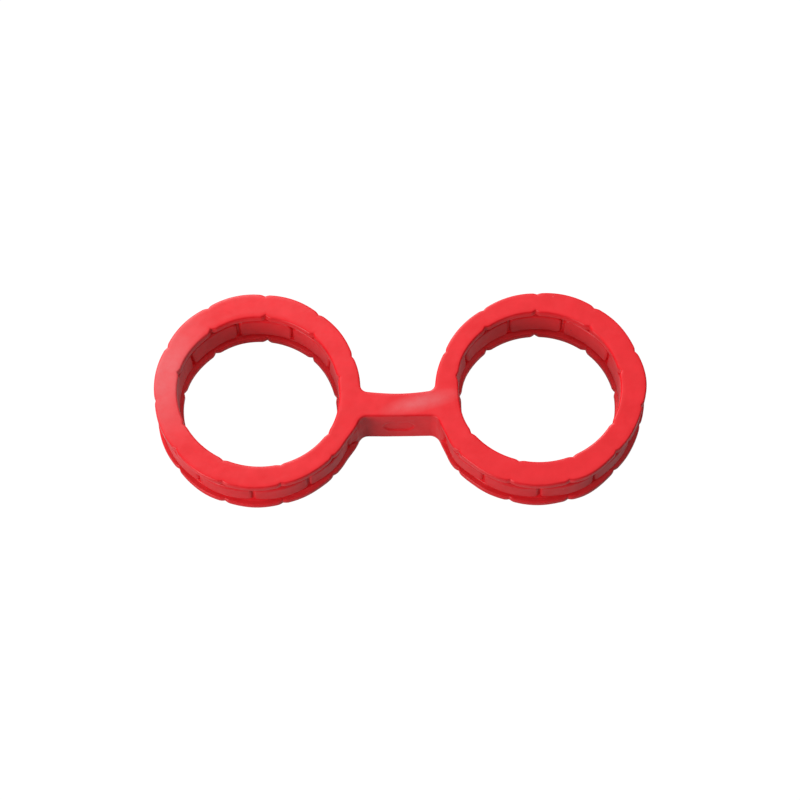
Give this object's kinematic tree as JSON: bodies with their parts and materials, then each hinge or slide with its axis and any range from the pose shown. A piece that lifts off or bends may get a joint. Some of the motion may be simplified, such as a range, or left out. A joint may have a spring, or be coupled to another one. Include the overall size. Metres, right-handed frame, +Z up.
{
  "type": "double ring cuffs",
  "caption": "Pair of link-patterned soft rubber rings side by side, joined by a short flexible bridge that bends and twists.",
  "frame": {"origin": "midway between the two ring centres, on the surface that the rings lie on", "axes": "+Z up, along the axes of the rings; +X from the left ring to the right ring; +Y away from the side that the bridge bows towards"},
  "size_m": [0.1963, 0.0844, 0.0214],
  "materials": {
    "ring_rubber": "satin",
    "inner_link_rubber": "satin"
  },
  "bodies": {
    "left_bar": {"left_bridge_half": "ring_rubber", "left_neck": "ring_rubber"},
    "left_ring": {"left_lower_links": "ring_rubber", "left_middle_links": "inner_link_rubber", "left_upper_links": "ring_rubber", "left_bridge_root": "ring_rubber"},
    "right_bar": {"right_bridge_half": "ring_rubber", "right_neck": "ring_rubber"},
    "right_ring": {"right_lower_links": "ring_rubber", "right_middle_links": "inner_link_rubber", "right_upper_links": "ring_rubber", "right_bridge_root": "ring_rubber"}
  },
  "joints": [
    {"name": "left_bend", "type": "hinge", "parent": "left_bar", "child": "left_ring", "pos_m": [-0.0085, -0.00698, 0.0107], "axis": [0, 0, 1], "range_deg": [-30, 45], "stiffness_Nm_per_rad": 0.16, "deforming": ["left_neck"]},
    {"name": "twist", "type": "hinge", "parent": "left_bar", "child": "right_bar", "pos_m": [0, -0.00698, 0.0107], "axis": [1, 0, 0], "range_deg": [-60, 60], "stiffness_Nm_per_rad": 0.075},
    {"name": "right_bend", "type": "hinge", "parent": "right_bar", "child": "right_ring", "pos_m": [0.0085, -0.00698, 0.0107], "axis": [0, 0, -1], "range_deg": [-30, 45], "stiffness_Nm_per_rad": 0.16, "deforming": ["right_neck"]}
  ]
}
